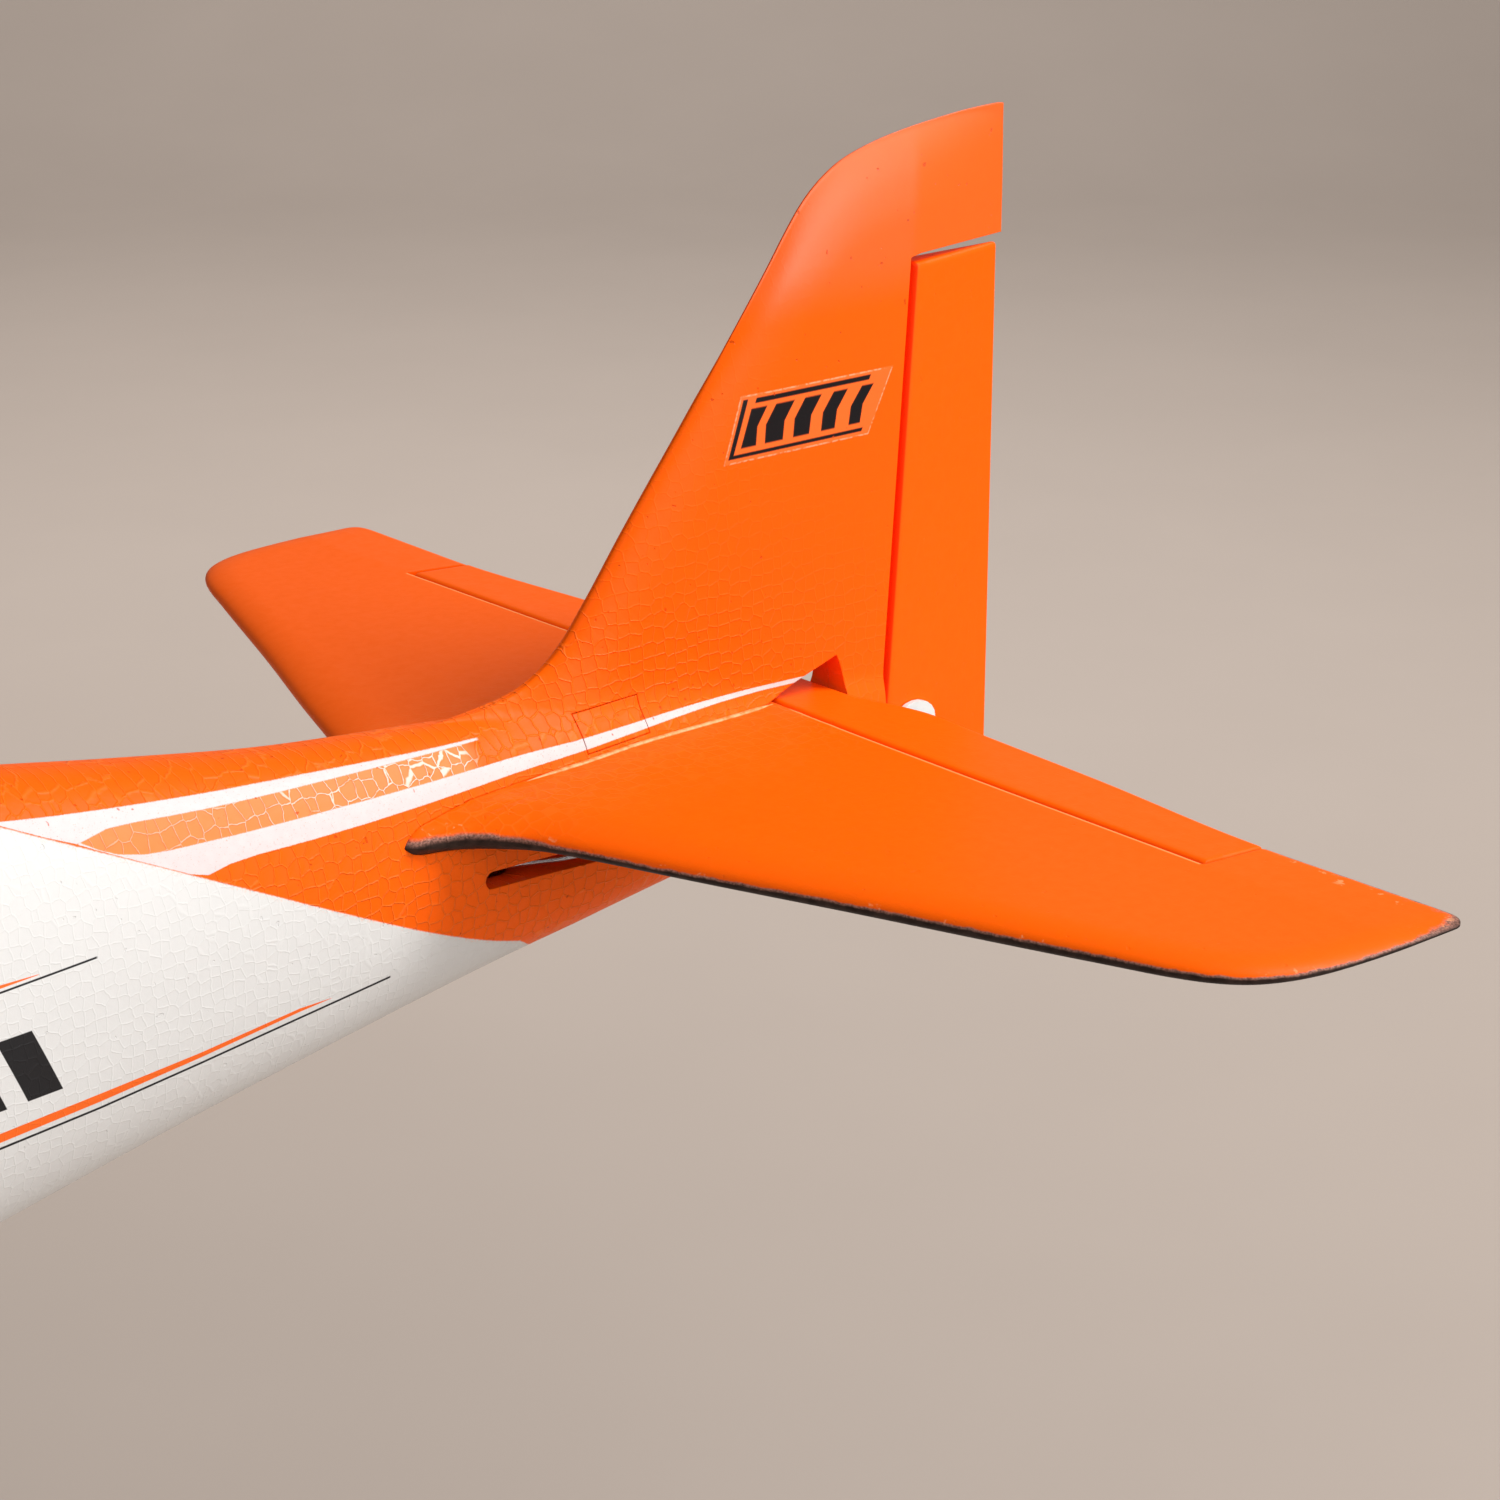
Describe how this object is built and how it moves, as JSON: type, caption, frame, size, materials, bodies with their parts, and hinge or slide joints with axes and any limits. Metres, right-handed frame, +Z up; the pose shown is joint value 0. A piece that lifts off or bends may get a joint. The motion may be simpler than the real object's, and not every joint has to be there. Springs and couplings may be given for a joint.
{
  "type": "radio control foam motor glider",
  "caption": "Foam electric motor glider with plug-in low wing, ailerons, conventional tail with rudder and one-piece elevator, folding propeller, servo linkages and equipment bay.",
  "frame": {"origin": "centre of the belly skid's flat underside, below the wing spar", "axes": "+X to the nose, +Y to the port wing tip, +Z up, flying attitude"},
  "size_m": [0.9156, 1.5, 0.2509],
  "materials": {
    "orange_foam": "sprayed satin on moulded bead foam",
    "white_foam": "moulded bead foam, satin",
    "black_plastic": "satin",
    "white_plastic": "satin",
    "carbon": "pultruded, satin",
    "steel_wire": "drawn wire",
    "bare_metal": "machined",
    "servo_case": "satin",
    "battery_wrap": "shrink wrap",
    "electronics": "shrink sleeve and case"
  },
  "bodies": {
    "airframe": {"fuselage_left": "white_foam", "fuselage_right": "white_foam", "stabilizer": "orange_foam", "stab_spar": "carbon", "tail_insert_left": "orange_foam", "tail_insert_right": "orange_foam", "wing_left": "white_foam", "wing_right": "white_foam", "wing_spar_tube": "carbon", "belly_skid": "black_plastic", "wing_screw_front": "white_plastic", "wing_screw_rear": "white_plastic", "firewall": "black_plastic", "motor_stator": "bare_metal", "rudder_servo": "servo_case", "elevator_servo": "servo_case", "aileron_servo_left": "servo_case", "aileron_servo_right": "servo_case", "servo_tray": "black_plastic", "rudder_guide_tube": "white_plastic", "elevator_guide_tube": "white_plastic", "battery_tray": "black_plastic", "battery": "battery_wrap", "battery_strap": "electronics", "esc": "electronics", "receiver": "electronics", "canopy_former": "black_plastic", "former_magnet": "bare_metal"},
    "canopy": {"canopy": "black_plastic", "canopy_magnet": "bare_metal"},
    "rudder": {"rudder": "orange_foam", "rudder_horn": "white_plastic"},
    "elevator": {"elevator": "orange_foam", "elevator_horn": "white_plastic"},
    "rudder_servo_arm": {"rudder_servo_arm": "white_plastic"},
    "rudder_pushrod": {"rudder_pushrod": "steel_wire"},
    "elevator_servo_arm": {"elevator_servo_arm": "white_plastic"},
    "elevator_pushrod": {"elevator_pushrod": "steel_wire"},
    "aileron_left": {"aileron_left": "orange_foam", "aileron_horn_left": "white_plastic"},
    "aileron_right": {"aileron_right": "orange_foam", "aileron_horn_right": "white_plastic"},
    "aileron_servo_arm_left": {"aileron_servo_arm_left": "white_plastic"},
    "aileron_servo_arm_right": {"aileron_servo_arm_right": "white_plastic"},
    "aileron_pushrod_left": {"aileron_pushrod_left": "steel_wire"},
    "aileron_pushrod_right": {"aileron_pushrod_right": "steel_wire"},
    "propeller": {"motor_bell": "bare_metal", "prop_yoke": "bare_metal", "spinner": "black_plastic", "blade_pin_a": "steel_wire", "blade_pin_b": "steel_wire"},
    "blade_a": {"blade_a": "black_plastic"},
    "blade_b": {"blade_b": "black_plastic"}
  },
  "joints": [
    {"name": "rudder_hinge", "type": "hinge", "parent": "airframe", "child": "rudder", "pos_m": [-0.49485, 0, 0.091], "axis": [-0.0851, 0, 0.9964], "range_deg": [-25, 25]},
    {"name": "elevator_hinge", "type": "hinge", "parent": "airframe", "child": "elevator", "pos_m": [-0.4515, 0, 0.091], "axis": [0, 1, 0], "range_deg": [-20, 20]},
    {"name": "aileron_left_hinge", "type": "hinge", "parent": "airframe", "child": "aileron_left", "pos_m": [-0.084, 0.3, 0.0249], "axis": [0.0368, 0.9967, 0.0727], "range_deg": [-20, 20]},
    {"name": "aileron_right_hinge", "type": "hinge", "parent": "airframe", "child": "aileron_right", "pos_m": [-0.084, -0.3, 0.0249], "axis": [-0.0368, 0.9967, -0.0727], "range_deg": [-20, 20]},
    {"name": "rudder_servo_turn", "type": "hinge", "parent": "airframe", "child": "rudder_servo_arm", "pos_m": [-0.038, 0.0225, 0.0634], "axis": [0, 0, 1], "range_deg": [-36, 36]},
    {"name": "elevator_servo_turn", "type": "hinge", "parent": "airframe", "child": "elevator_servo_arm", "pos_m": [-0.038, -0.0225, 0.0634], "axis": [0, 0, 1], "range_deg": [-20, 20]},
    {"name": "rudder_pushrod_slide", "type": "slide", "parent": "airframe", "child": "rudder_pushrod", "axis": [1, 0, 0], "range_m": [-0.0085, 0.0085]},
    {"name": "elevator_pushrod_slide", "type": "slide", "parent": "airframe", "child": "elevator_pushrod", "axis": [1, 0, 0], "range_m": [-0.0047, 0.0047]},
    {"name": "aileron_left_servo_turn", "type": "hinge", "parent": "airframe", "child": "aileron_servo_arm_left", "pos_m": [-0.0256, 0.3435, 0.02993], "axis": [0, 1, 0], "range_deg": [-21, 21]},
    {"name": "aileron_right_servo_turn", "type": "hinge", "parent": "airframe", "child": "aileron_servo_arm_right", "pos_m": [-0.0256, -0.3435, 0.02993], "axis": [0, 1, 0], "range_deg": [-21, 21]},
    {"name": "aileron_left_pushrod_slide", "type": "slide", "parent": "airframe", "child": "aileron_pushrod_left", "axis": [1, 0, 0], "range_m": [-0.0051, 0.0051]},
    {"name": "aileron_right_pushrod_slide", "type": "slide", "parent": "airframe", "child": "aileron_pushrod_right", "axis": [1, 0, 0], "range_m": [-0.0051, 0.0051]},
    {"name": "propeller_spin", "type": "hinge", "parent": "airframe", "child": "propeller", "pos_m": [0.33, 0, 0.065], "axis": [1, 0, 0], "continuous": true},
    {"name": "blade_a_fold", "type": "hinge", "parent": "propeller", "child": "blade_a", "pos_m": [0.35, 0.016, 0.065], "axis": [0, 0, 1], "range_deg": [0, 70]},
    {"name": "blade_b_fold", "type": "hinge", "parent": "propeller", "child": "blade_b", "pos_m": [0.35, -0.016, 0.065], "axis": [0, 0, -1], "range_deg": [0, 70]},
    {"name": "canopy_lift", "type": "slide", "parent": "airframe", "child": "canopy", "axis": [0, 0, 1], "range_m": [0, 0.12]}
  ],
  "couplings": [
    {"joint": "rudder_pushrod_slide", "follows": "rudder_hinge", "m_per_rad": -0.019},
    {"joint": "rudder_servo_turn", "follows": "rudder_hinge", "ratio": -1.3571},
    {"joint": "elevator_pushrod_slide", "follows": "elevator_hinge", "m_per_rad": -0.013},
    {"joint": "elevator_servo_turn", "follows": "elevator_hinge", "ratio": 0.92857},
    {"joint": "aileron_left_pushrod_slide", "follows": "aileron_left_hinge", "m_per_rad": -0.014},
    {"joint": "aileron_left_servo_turn", "follows": "aileron_left_hinge", "ratio": 1},
    {"joint": "aileron_right_pushrod_slide", "follows": "aileron_right_hinge", "m_per_rad": -0.014},
    {"joint": "aileron_right_servo_turn", "follows": "aileron_right_hinge", "ratio": 1}
  ]
}
